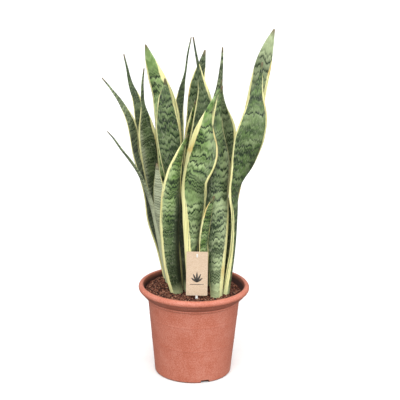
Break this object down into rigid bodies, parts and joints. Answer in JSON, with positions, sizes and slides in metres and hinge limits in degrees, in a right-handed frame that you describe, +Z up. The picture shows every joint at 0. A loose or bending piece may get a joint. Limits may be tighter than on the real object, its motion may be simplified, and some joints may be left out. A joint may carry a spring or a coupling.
{
  "type": "potted snake plant",
  "caption": "Snake plant with upright sword-shaped, cream-edged leaves in a round terracotta-coloured nursery pot with soil and a plain card label.",
  "frame": {"origin": "centre of the pot's flat underside", "axes": "+Z up along the pot's axis; -Y towards the plant's front, where the card label stands; +X to the right seen from the front"},
  "size_m": [0.3193, 0.2128, 0.6544],
  "materials": {
    "pot_plastic": "injection-moulded terracotta-coloured plastic with a fine grained surface",
    "potting_soil": "loose peat and coir fibre, damp, dark red-brown",
    "leaf_blade": "waxy succulent leaf, dark green cross bands on pale green, cream-yellow margins, satin",
    "rhizome_skin": "pale tan rootstock skin, matt",
    "kraft_card": "uncoated brown kraft card with a small printed sprig",
    "white_plastic": "thin moulded white plastic"
  },
  "bodies": {
    "root": {"pot": "pot_plastic", "potting_soil": "potting_soil", "label_card": "kraft_card", "label_stake": "white_plastic", "leaf_front_left": "leaf_blade", "leaf_front_centre": "leaf_blade", "leaf_front_right": "leaf_blade", "leaf_right_front": "leaf_blade", "leaf_right_tall": "leaf_blade", "leaf_right_rear": "leaf_blade", "leaf_young_centre": "leaf_blade", "leaf_centre_tall": "leaf_blade", "leaf_centre_narrow": "leaf_blade", "leaf_centre_back": "leaf_blade", "leaf_centre_rear": "leaf_blade", "leaf_left_broad": "leaf_blade", "leaf_left_tall": "leaf_blade", "leaf_left_grey": "leaf_blade", "leaf_left_low": "leaf_blade", "leaf_left_mid": "leaf_blade", "leaf_left_outer": "leaf_blade", "leaf_left_rear": "leaf_blade", "rhizome_left": "rhizome_skin", "rhizome_centre": "rhizome_skin", "rhizome_right": "rhizome_skin", "rhizome_back": "rhizome_skin"}
  },
  "joints": []
}
